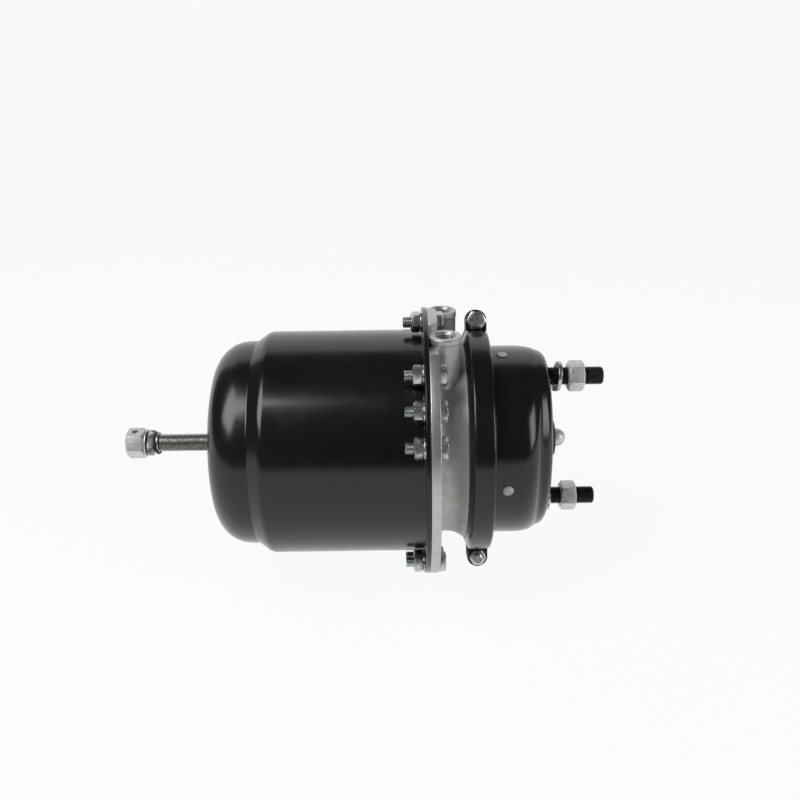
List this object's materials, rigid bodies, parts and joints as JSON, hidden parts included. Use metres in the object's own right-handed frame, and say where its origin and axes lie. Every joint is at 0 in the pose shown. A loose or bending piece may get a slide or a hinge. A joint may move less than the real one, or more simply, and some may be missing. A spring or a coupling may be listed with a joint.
{
  "type": "spring brake chamber",
  "caption": "Air brake actuator with a service chamber, a spring parking chamber, a push rod between mounting studs, air ports and a wind-out release bolt.",
  "frame": {"origin": "centre of the mounting face, on the push rod's axis", "axes": "+X out of the mounting face along the studs and the push rod's stroke, +Z the way the air ports open, the studs lie along Z"},
  "size_m": [0.4262, 0.239, 0.239],
  "materials": {
    "gloss_black": "gloss",
    "cast_alloy": "cast, fine grained",
    "zinc": "bright zinc plated",
    "zinc_white": "pale zinc plated",
    "dark_steel": "oiled",
    "black_steel": "black oxide",
    "spring_steel": "satin coated",
    "piston_alloy": "die cast",
    "rubber": "matte",
    "guide_plastic": "matte",
    "vent_plastic": "semi gloss"
  },
  "bodies": {
    "chamber": {"spring_housing": "gloss_black", "release_bush": "zinc", "neck_flange": "cast_alloy", "housing_seal": "rubber", "tube_seals": "rubber", "tube_guide": "guide_plastic", "flange_bolts": "zinc", "flange_washers": "zinc", "flange_nuts": "zinc", "mounting_cover": "gloss_black", "vent_plugs": "vent_plastic", "stud_plate": "black_steel", "mounting_studs": "black_steel", "stud_nuts": "zinc_white", "stud_washers": "black_steel", "clamp_band_front": "gloss_black", "clamp_band_rear": "gloss_black", "clamp_bolts": "zinc", "clamp_nuts": "zinc", "spring_seat": "guide_plastic", "rod_boot": "rubber", "diaphragm": "rubber", "power_spring": "spring_steel", "return_spring": "spring_steel"},
    "release_carrier": {"release_washer": "zinc_white", "release_collar": "zinc", "release_ring": "rubber", "release_sleeve": "zinc", "thrust_washer": "zinc"},
    "release_screw": {"release_bolt": "dark_steel", "release_hex": "zinc_white", "release_pin": "dark_steel"},
    "piston": {"spring_piston": "piston_alloy", "piston_seal": "rubber", "piston_guide": "guide_plastic", "push_tube": "dark_steel", "stop_ring": "dark_steel", "tube_foot": "zinc"},
    "rod": {"push_plate": "black_steel", "push_rod": "zinc_white"}
  },
  "joints": [
    {"name": "piston_slide", "type": "slide", "parent": "chamber", "child": "piston", "axis": [1, 0, 0], "range_m": [0, 0.054], "deforming": ["power_spring"]},
    {"name": "release_slide", "type": "slide", "parent": "chamber", "child": "release_carrier", "axis": [1, 0, 0], "range_m": [0, 0.0541]},
    {"name": "release_turn", "type": "hinge", "parent": "release_carrier", "child": "release_screw", "pos_m": [-0.36, 0, 0], "axis": [1, 0, 0], "range_deg": [0, 9721]},
    {"name": "rod_slide", "type": "slide", "parent": "chamber", "child": "rod", "axis": [1, 0, 0], "range_m": [0, 0.0541], "deforming": ["return_spring", "diaphragm"]}
  ],
  "couplings": [
    {"joint": "release_slide", "follows": "piston_slide", "ratio": 1},
    {"joint": "rod_slide", "follows": "piston_slide", "ratio": 1},
    {"joint": "release_turn", "follows": "piston_slide", "rad_per_m": 3141.6}
  ]
}
